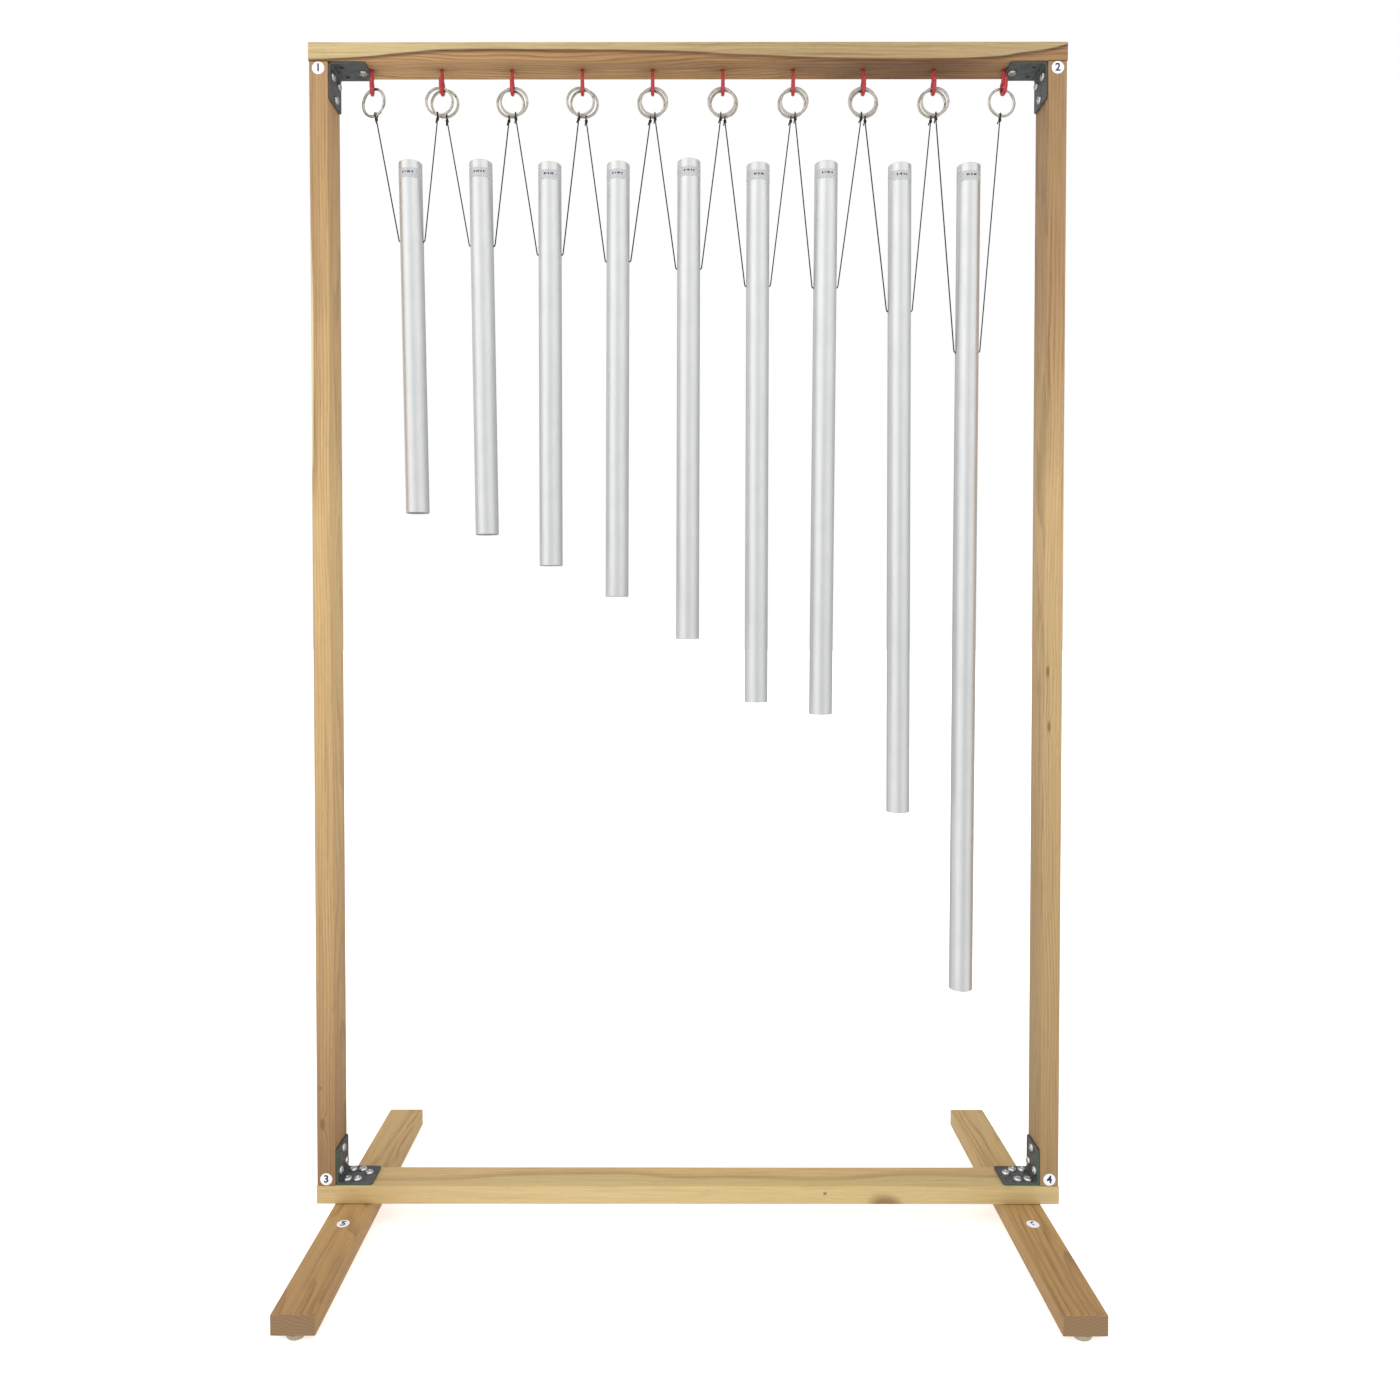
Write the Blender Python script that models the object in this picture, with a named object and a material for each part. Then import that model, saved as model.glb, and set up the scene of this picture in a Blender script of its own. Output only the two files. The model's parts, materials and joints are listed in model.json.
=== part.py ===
"""Nine tubular chimes hung in a row on a free-standing timber frame.

Metres, +Z up. The origin is on the floor under the middle of the frame, and the front faces -Y.
Touching pieces keep GAP between them, so that each one stays its own solid.
"""

import math

import bmesh
import bpy
from mathutils import Matrix, Vector

GAP = 0.0003

# Timber: every piece is cut from the same flat batten.
FRAME_WIDTH = 0.812
FRAME_DEPTH = 0.040
TIMBER_THICKNESS = 0.020
OPENING_HEIGHT = 1.216
POST_INSET = 0.001
FOOT_WIDTH = 0.042
FOOT_LENGTH = 0.400
FOOT_INSET = 0.020
EDGE_CHAMFER = 0.0008

# Stick-on rubber bumpers under the feet.
BUMPER_HEIGHT = 0.006
BUMPER_TOP_RADIUS = 0.0098
BUMPER_BASE_RADIUS = 0.0072
BUMPER_SETBACK = 0.0102

# Steel angle brackets in the four inner corners.
BRACKET_ARM = 0.039
BRACKET_WIDTH = 0.037
BRACKET_THICKNESS = 0.002
BRACKET_HEEL_CHAMFER = 0.0006
BRACKET_HOLE_RADIUS = 0.0021
NEAR_HOLES = ((0.012, -0.010), (0.012, 0.010))
END_HOLE = ((0.032, 0.0),)
CROWDED_ARM_HOLES = ((0.010, -0.010), (0.010, 0.010), (0.021, -0.010), (0.021, 0.010), (0.030, 0.003))

# Coated screw hooks in the underside of the top rail.
HOOK_COUNT = 10
HOOK_PITCH = 0.0763
HOOK_WIRE_RADIUS = 0.002
HOOK_CORE_RADIUS = 0.0013
HOOK_BEND_RADIUS = 0.007
HOOK_DROP = 0.0272
# Points on the shank's kink and the lip, in bend radii from the bend's centre, with a share of
# the wire's radius; and the arc between them in degrees.
HOOK_KINK = ((0.35, 1.05, 0.94), (0.80, 0.60, 1.0))
HOOK_LIP = ((-1.03, 0.557, 1.0), (-1.10, 0.929, 0.9), (-1.12, 1.043, 0.55))
HOOK_ARC_START = -8
HOOK_ARC = -164
HOOK_SCREW_DEPTH = 0.012
PILOT_RADIUS = 0.0019
HOOK_YAWS = (10, 0, 3, 4, 2, -1, -4, 0, -3, 2)

# Split rings on the hooks: one at each end hook, two on every hook between.
RING_RADIUS = 0.01435
RING_WIRE_RADIUS = 0.0014
RING_PLANE_OFFSET = 0.0026
RING_SIDE_OFFSET = 0.0022
RING_REST_GAP = 0.0006
# How far each hook's two rings and knots stand apart, as a share of the offsets here.
HOOK_SPREADS = (1.0, 1.1, 0.95, 0.95, 0.6, 0.55, 0.55, 0.6, 0.55, 1.0)
FIRST_RING_YAW = -24
LAST_RING_YAW = 8

# Cords: each one runs from its left ring, through its tube, to its right ring.
CORD_RADIUS = 0.0006
CORD_LOOP_RADIUS = 0.0026
CORD_BEND_RADIUS = 0.0027
KNOT_OFFSET = 0.0018
FIRST_KNOT_OFFSET = 0.0030
LOOP_SWEEP = math.radians(290)

# Aluminium tubes. A free bar of this section rings at its pitch when its length follows
# length = sqrt(BAR_FACTOR * gyration * sound speed / pitch).
TUBE_RADIUS = 0.0125
TUBE_WALL = 0.002
TUBE_SIDES = 24
BAR_FACTOR = 3.5608
SOUND_SPEED = 5010.0
NODE_FRACTION = 0.2242
CROSS_HOLE_RADIUS = 0.0017
CROSS_HOLE_SIDES = 8
# Pitch in hertz, drop of the tube's top below the rail, sideways shift, and lean in degrees.
TUBES = (
    (1015, 0.1018, 0.0050, 0.95),
    (891, 0.0994, 0.0042, 0.80),
    (773, 0.1040, 0.0028, 0.05),
    (658, 0.1012, 0.0001, -0.24),
    (544, 0.1004, 0.0010, -0.16),
    (425, 0.1022, 0.0002, -0.13),
    (408, 0.1030, -0.0032, -0.44),
    (292, 0.1026, 0.0027, 0.08),
    (180, 0.1048, -0.0006, -0.24),
)

FOOT_BOTTOM = BUMPER_HEIGHT + GAP
RAIL_BOTTOM = FOOT_BOTTOM + TIMBER_THICKNESS + GAP
RAIL_TOP = RAIL_BOTTOM + TIMBER_THICKNESS
HEAD_BOTTOM = RAIL_TOP + OPENING_HEIGHT
HEAD_TOP = HEAD_BOTTOM + TIMBER_THICKNESS
POST_OUTER = FRAME_WIDTH / 2 - POST_INSET
POST_INNER = POST_OUTER - TIMBER_THICKNESS


def clear_scene():
    for scene_object in list(bpy.data.objects):
        bpy.data.objects.remove(scene_object, do_unlink=True)


def make_material(name, colour, roughness, metallic=0.0):
    material = bpy.data.materials.new(name)
    material.use_nodes = True
    shader = material.node_tree.nodes["Principled BSDF"]
    shader.inputs["Base Color"].default_value = (*colour, 1.0)
    shader.inputs["Roughness"].default_value = roughness
    shader.inputs["Metallic"].default_value = metallic
    return material


def link_object(name, data, material=None):
    new_object = bpy.data.objects.new(name, data)
    bpy.context.scene.collection.objects.link(new_object)
    if material:
        data.materials.append(material)
    return new_object


def mesh_object(name, shape, material=None):
    mesh = bpy.data.meshes.new(name)
    bmesh.ops.recalc_face_normals(shape, faces=shape.faces)
    shape.to_mesh(mesh)
    shape.free()
    return link_object(name, mesh, material)


def smooth_round_faces(smooth_object):
    smooth_object.data.shade_smooth()
    smooth_object.data.set_sharp_from_angle(angle=math.radians(40))


def cut(target, cutter):
    cutter.hide_render = True
    cutter.display_type = "WIRE"
    boolean = target.modifiers.new("cut", "BOOLEAN")
    boolean.operation = "DIFFERENCE"
    boolean.object = cutter


def box(name, size, centre, material):
    shape = bmesh.new()
    bmesh.ops.create_cube(shape, size=1.0, matrix=Matrix.Diagonal((*size, 1.0)))
    timber = mesh_object(name, shape, material)
    timber.location = centre
    return timber


def cylinders(name, placements, radius, length, sides=8):
    """One cutter made of separate cylinders, each placed by a matrix."""
    shape = bmesh.new()
    for placement in placements:
        bmesh.ops.create_cone(
            shape, cap_ends=True, segments=sides, radius1=radius, radius2=radius, depth=length, matrix=placement
        )
    return mesh_object(name, shape)


def rod(name, points, radius, material, factors=None, cyclic=False, resolution=2):
    """A round bar along a polyline, with an optional radius factor at each point."""
    curve = bpy.data.curves.new(name, "CURVE")
    curve.dimensions = "3D"
    curve.bevel_depth = radius
    curve.bevel_resolution = resolution
    curve.use_fill_caps = not cyclic
    spline = curve.splines.new("POLY")
    spline.use_cyclic_u = cyclic
    spline.points.add(len(points) - 1)
    for index, point in enumerate(points):
        spline.points[index].co = (*point, 1.0)
        spline.points[index].radius = factors[index] if factors else 1.0
    return link_object(name, curve, material)


# Timber frame


def build_timber(wood_light, wood_warm, wood_mid):
    post_length = OPENING_HEIGHT - 2 * GAP
    post_middle = (RAIL_TOP + HEAD_BOTTOM) / 2
    rail_size = (FRAME_WIDTH, FRAME_DEPTH, TIMBER_THICKNESS)
    timbers = [
        box("bottom_rail", rail_size, (0, 0, RAIL_BOTTOM + TIMBER_THICKNESS / 2), wood_light),
        box("top_rail", rail_size, (0, 0, HEAD_BOTTOM + TIMBER_THICKNESS / 2), wood_light),
    ]
    for side, word in ((-1, "left"), (1, "right")):
        post_size = (TIMBER_THICKNESS, FRAME_DEPTH, post_length)
        post_x = side * (POST_INNER + TIMBER_THICKNESS / 2)
        timbers.append(box(f"{word}_post", post_size, (post_x, 0, post_middle), wood_warm))
        foot_size = (FOOT_WIDTH, FOOT_LENGTH, TIMBER_THICKNESS)
        foot_x = side * (FRAME_WIDTH / 2 - FOOT_INSET - FOOT_WIDTH / 2)
        foot_z = FOOT_BOTTOM + TIMBER_THICKNESS / 2
        timbers.append(box(f"{word}_foot", foot_size, (foot_x, 0, foot_z), wood_mid))
    for timber in timbers:
        bevel = timber.modifiers.new("eased edges", "BEVEL")
        bevel.width = EDGE_CHAMFER
        bevel.segments = 1
    top_rail = timbers[1]
    pilots = [
        Matrix.Translation((hook_x(index), 0, HEAD_BOTTOM + HOOK_SCREW_DEPTH / 2)) for index in range(HOOK_COUNT)
    ]
    cut(top_rail, cylinders("pilot_cutter", pilots, PILOT_RADIUS, HOOK_SCREW_DEPTH + 0.002))


def build_bumpers(rubber):
    for side, word in ((-1, "left"), (1, "right")):
        for end, end_word in ((-1, "front"), (1, "back")):
            shape = bmesh.new()
            bmesh.ops.create_cone(
                shape,
                cap_ends=True,
                segments=16,
                radius1=BUMPER_BASE_RADIUS,
                radius2=BUMPER_TOP_RADIUS,
                depth=BUMPER_HEIGHT,
            )
            bumper = mesh_object(f"bumper_{end_word}_{word}", shape, rubber)
            bumper_x = side * (FRAME_WIDTH / 2 - FOOT_INSET - FOOT_WIDTH / 2)
            bumper_y = end * (FOOT_LENGTH / 2 - BUMPER_SETBACK)
            bumper.location = (bumper_x, bumper_y, BUMPER_HEIGHT / 2)


# Corner brackets


def bracket_shape():
    """An L profile with its corner at the origin and arms along +X and +Z, extruded along Y."""
    arm, thick, half = BRACKET_ARM, BRACKET_THICKNESS, BRACKET_WIDTH / 2
    heel = BRACKET_HEEL_CHAMFER
    outline = (
        (thick, 0), (arm, 0), (arm, thick), (2 * thick, thick), (thick, 2 * thick),
        (thick, arm), (0, arm), (0, thick), (heel, heel),
    )
    shape = bmesh.new()
    face = shape.faces.new([shape.verts.new((x, -half, z)) for x, z in outline])
    extruded = bmesh.ops.extrude_face_region(shape, geom=[face])["geom"]
    moved = [item for item in extruded if isinstance(item, bmesh.types.BMVert)]
    bmesh.ops.translate(shape, verts=moved, vec=(0, 2 * half, 0))
    return shape


def build_brackets(steel):
    for side, word in ((-1, "left"), (1, "right")):
        for level, level_word in ((-1, "bottom"), (1, "top")):
            crowded = level < 0
            flat_holes = CROWDED_ARM_HOLES if crowded else NEAR_HOLES + END_HOLE
            upright_holes = NEAR_HOLES + END_HOLE
            holes = [Matrix.Translation((x, y, BRACKET_THICKNESS / 2)) for x, y in flat_holes]
            turn = Matrix.Rotation(math.radians(90), 4, "Y")
            holes += [Matrix.Translation((BRACKET_THICKNESS / 2, y, z)) @ turn for z, y in upright_holes]
            corner_x = side * (POST_INNER - GAP)
            corner_z = RAIL_TOP + GAP if crowded else HEAD_BOTTOM - GAP
            mirror = Matrix.Diagonal((-side, 1, -level, 1))
            place = Matrix.Translation((corner_x, 0, corner_z)) @ mirror
            shape = bracket_shape()
            bmesh.ops.transform(shape, matrix=place, verts=shape.verts)
            name = f"bracket_{level_word}_{word}"
            bracket = mesh_object(name, shape, steel)
            placed = [place @ hole for hole in holes]
            cut(bracket, cylinders(f"{name}_cutter", placed, BRACKET_HOLE_RADIUS, 3 * BRACKET_THICKNESS))


# Hooks


def hook_x(index):
    return (index - (HOOK_COUNT - 1) / 2) * HOOK_PITCH


def hook_profile():
    """Side view of a hook as (y, z below the rail, radius factor), from screw tip to lip tip.

    The shank kinks back, rounds the bend under its own axis and rises to a lip at the front.
    """
    bend = HOOK_BEND_RADIUS
    centre_z = -(HOOK_DROP - HOOK_WIRE_RADIUS - bend)
    core = HOOK_CORE_RADIUS / HOOK_WIRE_RADIUS
    points = [(0, HOOK_SCREW_DEPTH - 0.002, core), (0, 0.0012, core), (0, 0.0, 0.82), (0, -0.003, 0.88)]
    arc_steps = 9
    angles = [math.radians(HOOK_ARC_START + HOOK_ARC * step / arc_steps) for step in range(arc_steps + 1)]
    arc = [(math.cos(angle), math.sin(angle), 1.0) for angle in angles]
    for y, z, factor in (*HOOK_KINK, *arc, *HOOK_LIP):
        points.append((bend * y, centre_z + bend * z, factor))
    return points


def build_hooks(coating):
    profile = hook_profile()
    factors = [factor for _, _, factor in profile]
    for index, yaw in enumerate(HOOK_YAWS):
        points = [(0, y, z) for y, z, _ in profile]
        hook = rod(f"hook_{index + 1:02d}", points, HOOK_WIRE_RADIUS, coating, factors)
        hook.location = (hook_x(index), 0, HEAD_BOTTOM)
        hook.rotation_euler = (0, 0, math.radians(yaw))


# Rings


def tube_plane(tube):
    """Tubes take the front and the back ring of each hook in turn."""
    return -RING_PLANE_OFFSET if tube % 2 == 0 else RING_PLANE_OFFSET


def ring_frame(tube, side):
    """Centre and in-plane direction of the ring that holds one side of a tube.

    The ring leans towards its own tube, so it meets the hook a little off its top.
    """
    hook = tube if side < 0 else tube + 1
    end_yaw = {0: FIRST_RING_YAW, HOOK_COUNT - 1: LAST_RING_YAW}
    lone = hook in end_yaw
    yaw = math.radians(end_yaw.get(hook, HOOK_YAWS[hook]))
    plane = 0.0 if lone else tube_plane(tube)
    across = Vector((math.cos(yaw), math.sin(yaw), 0))
    hook_centre_z = HEAD_BOTTOM - (HOOK_DROP - HOOK_WIRE_RADIUS - HOOK_BEND_RADIUS)
    wire_z = hook_centre_z - math.sqrt(HOOK_BEND_RADIUS**2 - plane**2)
    reach = RING_RADIUS - RING_WIRE_RADIUS - HOOK_WIRE_RADIUS - RING_REST_GAP
    aside = RING_SIDE_OFFSET * HOOK_SPREADS[hook]
    drop = math.sqrt(reach**2 - aside**2)
    hook_yaw = math.radians(HOOK_YAWS[hook])
    wire = Vector((hook_x(hook) - plane * math.sin(hook_yaw), plane * math.cos(hook_yaw), wire_z))
    return wire - side * aside * across - Vector((0, 0, drop)), across


def knot_point(tube, side):
    """Centre of the ring's wire where the cord is tied round it."""
    centre, across = ring_frame(tube, side)
    hook = tube if side < 0 else tube + 1
    offset = FIRST_KNOT_OFFSET if hook == 0 else KNOT_OFFSET * HOOK_SPREADS[hook]
    fall = math.sqrt(RING_RADIUS**2 - offset**2)
    return centre - side * offset * across - Vector((0, 0, fall))


def build_rings(nickel):
    steps = 18
    for tube in range(len(TUBES)):
        for side, word in ((-1, "left"), (1, "right")):
            centre, across = ring_frame(tube, side)
            points = []
            for step in range(steps):
                angle = 2 * math.pi * (step + 0.5) / steps
                points.append(RING_RADIUS * (math.cos(angle) * across + math.sin(angle) * Vector((0, 0, 1))))
            ring = rod(
                f"ring_{tube + 1}_{word}", points, RING_WIRE_RADIUS, nickel, cyclic=True, resolution=1
            )
            ring.location = centre


# Tubes


def tube_length(pitch):
    inner = TUBE_RADIUS - TUBE_WALL
    gyration = math.sqrt(TUBE_RADIUS**2 + inner**2) / 2
    return math.sqrt(BAR_FACTOR * gyration * SOUND_SPEED / pitch)


def tube_pivot(tube):
    """Middle of the cord where it crosses the tube: the point that the tube swings about."""
    pitch, drop, shift, _ = TUBES[tube]
    middle_x = (hook_x(tube) + hook_x(tube + 1)) / 2
    depth = (knot_point(tube, -1).y + knot_point(tube, 1).y) / 2
    hole_z = HEAD_BOTTOM - drop - NODE_FRACTION * tube_length(pitch)
    return Vector((middle_x + shift, depth, hole_z + cord_lift()))


def cord_lift():
    """The tube hangs on its cord, so the cord lies at the top of the cross holes."""
    hole_top = CROSS_HOLE_RADIUS * math.cos(math.pi / CROSS_HOLE_SIDES)
    return hole_top - CORD_RADIUS - GAP


def pipe_shape(length, top):
    """A hollow tube along Z from top down, open at both ends: its wall's section spun about Z."""
    inner = TUBE_RADIUS - TUBE_WALL
    corners = ((TUBE_RADIUS, top), (TUBE_RADIUS, top - length), (inner, top - length), (inner, top))
    shape = bmesh.new()
    wall = shape.faces.new([shape.verts.new((radius, 0, height)) for radius, height in corners])
    section = list(wall.verts) + list(wall.edges)
    shape.faces.remove(wall)
    bmesh.ops.spin(
        shape, geom=section, cent=(0, 0, 0), axis=(0, 0, 1), angle=2 * math.pi, steps=TUBE_SIDES, use_merge=True
    )
    return shape


def build_tubes(aluminium):
    for tube, (pitch, _, _, lean) in enumerate(TUBES):
        length = tube_length(pitch)
        turn = Matrix.Rotation(math.radians(-lean), 4, "Y")
        name = f"chime_tube_{tube + 1}"
        pipe = mesh_object(name, pipe_shape(length, NODE_FRACTION * length - cord_lift()), aluminium)
        pipe.matrix_world = Matrix.Translation(tube_pivot(tube)) @ turn
        flat_top = Matrix.Rotation(math.pi / CROSS_HOLE_SIDES, 4, "Z")
        across = Matrix.Rotation(math.radians(90), 4, "Y") @ flat_top
        hole = Matrix.Translation(tube_pivot(tube) - Vector((0, 0, cord_lift()))) @ across
        cutter = cylinders(f"{name}_cutter", [hole], CROSS_HOLE_RADIUS, 4 * TUBE_RADIUS, CROSS_HOLE_SIDES)
        cut(pipe, cutter)
        smooth_round_faces(pipe)


# Cords


def loop_points(knot, across):
    """An open loop square to the ring's wire, ending straight under it where the cord leaves."""
    outward = Vector((0, 0, 1)).cross(across)
    steps = 7
    points = []
    for step in range(steps + 1):
        angle = -math.pi / 2 + LOOP_SWEEP * (1 - step / steps)
        offset = math.cos(angle) * outward + math.sin(angle) * Vector((0, 0, 1))
        points.append(knot + CORD_LOOP_RADIUS * offset)
    return points


def bend_points(pivot, knot, side):
    """The cord leaves the cross hole level and bends up towards its knot."""
    start = pivot + Vector((side * (TUBE_RADIUS - TUBE_WALL / 2), 0, 0))
    centre = start + Vector((0, 0, CORD_BEND_RADIUS))
    away = knot - centre
    distance = math.hypot(away.x, away.z)
    tilt = math.atan2(side * away.x, away.z)
    turn = math.pi / 2 - tilt + math.asin(CORD_BEND_RADIUS / distance)
    steps = 5
    points = []
    for step in range(steps + 1):
        angle = turn * step / steps
        offset = Vector((side * math.sin(angle), 0, -math.cos(angle)))
        points.append(centre + CORD_BEND_RADIUS * offset)
    return points


def cord_points(tube):
    pivot = tube_pivot(tube)
    halves = []
    for side in (-1, 1):
        knot = knot_point(tube, side)
        loop = loop_points(knot, ring_frame(tube, side)[1])
        bend = bend_points(pivot, loop[-1], side)
        run = [loop[-1].lerp(bend[-1], step / 4) for step in range(1, 4)]
        halves.append(loop + run + bend[::-1])
    return halves[0] + halves[1][::-1]


def build_cords(braid):
    for tube in range(len(TUBES)):
        rod(f"cord_{tube + 1}", cord_points(tube), CORD_RADIUS, braid)


def main():
    clear_scene()
    wood_light = make_material("wood_light", (0.66, 0.50, 0.29), 0.55)
    wood_warm = make_material("wood_warm", (0.57, 0.37, 0.19), 0.55)
    wood_mid = make_material("wood_mid", (0.46, 0.30, 0.16), 0.6)
    build_timber(wood_light, wood_warm, wood_mid)
    build_bumpers(make_material("rubber", (0.62, 0.58, 0.52), 0.4))
    build_brackets(make_material("black_steel", (0.05, 0.05, 0.055), 0.5))
    build_hooks(make_material("red_coating", (0.50, 0.02, 0.03), 0.3))
    build_rings(make_material("nickel", (0.70, 0.69, 0.67), 0.2, 1.0))
    build_tubes(make_material("satin_aluminium", (0.80, 0.81, 0.82), 0.35, 1.0))
    build_cords(make_material("black_braid", (0.02, 0.02, 0.02), 0.8))


main()
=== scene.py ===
"""The looks of nine tubular chimes on a timber frame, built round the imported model.

Metres, +Z up; the front faces -Y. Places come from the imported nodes. The few sizes that a node's
box doesn't give are repeated here from the part's own driving dimensions.
"""

import json
import math

import bmesh
import bpy
from mathutils import Matrix, Vector


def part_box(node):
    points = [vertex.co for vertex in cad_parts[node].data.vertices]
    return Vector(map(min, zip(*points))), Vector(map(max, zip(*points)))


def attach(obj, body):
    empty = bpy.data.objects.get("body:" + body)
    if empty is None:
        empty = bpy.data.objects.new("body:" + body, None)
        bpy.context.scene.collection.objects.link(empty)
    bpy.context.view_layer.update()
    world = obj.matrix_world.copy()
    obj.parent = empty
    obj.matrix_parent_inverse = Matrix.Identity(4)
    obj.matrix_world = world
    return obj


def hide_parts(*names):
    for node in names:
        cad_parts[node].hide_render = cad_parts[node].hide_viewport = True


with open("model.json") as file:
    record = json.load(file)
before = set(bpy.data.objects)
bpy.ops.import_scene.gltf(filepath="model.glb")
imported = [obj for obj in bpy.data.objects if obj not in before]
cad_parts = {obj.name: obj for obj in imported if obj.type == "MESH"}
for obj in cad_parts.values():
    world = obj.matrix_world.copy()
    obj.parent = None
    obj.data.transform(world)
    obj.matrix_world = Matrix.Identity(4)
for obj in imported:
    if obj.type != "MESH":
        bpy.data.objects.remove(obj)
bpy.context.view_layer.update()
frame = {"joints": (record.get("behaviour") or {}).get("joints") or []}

SIDES = ((-1, "left"), (1, "right"))
UP = Vector((0, 0, 1))

# Camera.
CAMERA_PLACE = (-0.0076, -1.1420, 0.6684)
CAMERA_LENS = 26.71
CAMERA_PITCH = math.radians(-1.221)
CAMERA_YAW = 0.00125
CAMERA_SHIFT = (0.0147, -0.0434)

# Timber.
EDGE_ROUND = 0.0011
PILOT_RADIUS = 0.0019
PILOT_DEPTH = 0.012

# Bumpers: how much of their width is flat underneath.
BUMPER_FLAT = 0.62

# Brackets and screws.
BRACKET_THICKNESS = 0.002
BRACKET_HOLE_RADIUS = 0.0021
BRACKET_BEND = 0.0024
BRACKET_CORNER = 0.0025
NEAR_HOLES = ((0.012, -0.010), (0.012, 0.010))
END_HOLE = (0.032, 0.0)
CROWDED_ARM_HOLES = ((0.010, -0.010), (0.010, 0.010), (0.021, -0.010), (0.021, 0.010), (0.030, 0.003))
SCREW_HEAD_RADIUS = 0.0046
SCREW_HEAD_HEIGHT = 0.0026
SCREW_CORE_RADIUS = 0.0017
SCREW_LENGTH = 0.014

# Hooks.
HOOK_PITCH = 0.0763
HOOK_WIRE_RADIUS = 0.002
HOOK_CORE_RADIUS = 0.0013
HOOK_BEND_RADIUS = 0.007
HOOK_DROP = 0.0272
# The shank's kink as (y, z, radius factor), with y and z in bend radii from the bend's centre, and
# the lip with y in bend radii and z in metres.
HOOK_KINK = ((0.35, 1.05, 0.94), (0.80, 0.60, 1.0))
HOOK_LIP = (
    (-1.03, 0.0039, 1.0), (-1.09, 0.006045, 0.98), (-1.11, 0.0068, 0.82), (-1.12, 0.0072, 0.50),
    (-1.12, 0.0073, 0.12),
)
HOOK_ARC_START = -8
HOOK_ARC = -164
HOOK_YAWS = (10, 0, 3, 4, 2, -1, -4, 0, -3, 2)

# Split rings.
RING_RADIUS = 0.01435
RING_BAND_WIDTH = 0.0024
RING_BAND_THICKNESS = 0.00125
RING_TURN_GAP = 0.00012
FIRST_RING_YAW = -24
LAST_RING_YAW = 8

# Cords.
CORD_RADIUS = 0.0006
CORD_LOOP_RADIUS = 0.0026
CORD_BEND_RADIUS = 0.0027
CORD_BEND_STEPS = 12
CORD_STEP = 0.0005
BRAID_LAY = 0.0022
BRAID_SWELL = 1.12
BRAID_WEAVE = 0.10
LOOP_SWEEP = math.radians(290)
HOOK_SPREADS = (1.0, 1.1, 0.95, 0.95, 0.6, 0.55, 0.55, 0.6, 0.55, 1.0)
KNOT_OFFSET = 0.0018
FIRST_KNOT_OFFSET = 0.0030
KNOT_WRAPS = 2.75
# The knot's free end, as steps outward and down.
KNOT_TAIL = ((0.0012, 0.0004), (0.0008, 0.0016))

# Tubes.
TUBE_COUNT = 9
TUBE_RADIUS = 0.0125
TUBE_WALL = 0.002
TUBE_SIDES = 72
TUBE_LEANS = (0.95, 0.80, 0.05, -0.24, -0.16, -0.13, -0.44, 0.08, -0.24)
CROSS_HOLE_RADIUS = 0.0017
CROSS_HOLE_SLACK = 0.0003
FILM_DROP = 0.0085
FILM_HEIGHT = 0.0105
FILM_LIFT = 0.0001
DASH_HEIGHTS = (0.0020, 0.0013, 0.0020, 0.0016, 0.0020)
DASH_PITCH = 0.00245
DASH_WIDTH = 0.0015
DASH_SHIFT = 0.0004
DASH_LIFT = 0.00016

# Stickers.
STICKER_RADIUS = 0.0066
STICKER_THICKNESS = 0.00012
NUMERAL_SIZE = 0.0114
FOOT_STICKER_Y = -0.056
POST_STICKER_SETBACK = 0.0075


# Making meshes


def to_piece(name, shape, material, smooth_angle=35.0):
    """Turns a bmesh into an object with outward faces, smooth where it is round."""
    mesh = bpy.data.meshes.new(name)
    bmesh.ops.recalc_face_normals(shape, faces=shape.faces)
    shape.to_mesh(mesh)
    shape.free()
    mesh.materials.append(material)
    mesh.shade_smooth()
    mesh.set_sharp_from_angle(angle=math.radians(smooth_angle))
    piece = bpy.data.objects.new(name, mesh)
    bpy.context.scene.collection.objects.link(piece)
    return piece


def own(piece, body, slot, *nodes):
    """Says what a piece moves with and which nodes it stands for; slot is not used."""
    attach(piece, body)
    if nodes:
        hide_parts(*nodes)
    return piece


def add_loft(shape, loops, closed=False):
    """Skins a row of equal loops of points; an open row gets flat ends."""
    rows = [[shape.verts.new(point) for point in loop] for loop in loops]
    following = rows[1:] + [rows[0]] if closed else rows[1:]
    for row, other in zip(rows, following):
        for index in range(len(row)):
            after = (index + 1) % len(row)
            shape.faces.new((row[index], row[after], other[after], other[index]))
    if not closed:
        shape.faces.new(rows[0][::-1])
        shape.faces.new(rows[-1])


def add_turned(shape, profile, sides, place=Matrix()):
    """Spins a closed profile of (radius, height) points about Z."""
    loops = []
    for side in range(sides):
        angle = 2 * math.pi * side / sides
        loops.append([place @ Vector((r * math.cos(angle), r * math.sin(angle), z)) for r, z in profile])
    add_loft(shape, loops, closed=True)


def add_capped(shape, profile, sides, place=Matrix()):
    """Stacks rings of (radius, height) into a solid with flat ends."""
    loops = []
    for radius, height in profile:
        angles = [2 * math.pi * side / sides for side in range(sides)]
        loops.append([place @ Vector((radius * math.cos(a), radius * math.sin(a), height)) for a in angles])
    add_loft(shape, loops)


def carried_frames(path):
    """A pair of directions square to a path at each point, carried along without twisting."""
    last = len(path) - 1
    tangents = [(path[min(i + 1, last)] - path[max(i - 1, 0)]).normalized() for i in range(last + 1)]
    first = tangents[0].orthogonal().normalized()
    frames = []
    for tangent in tangents:
        first = (first - first.dot(tangent) * tangent).normalized()
        frames.append((first, tangent.cross(first)))
    return frames


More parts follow.
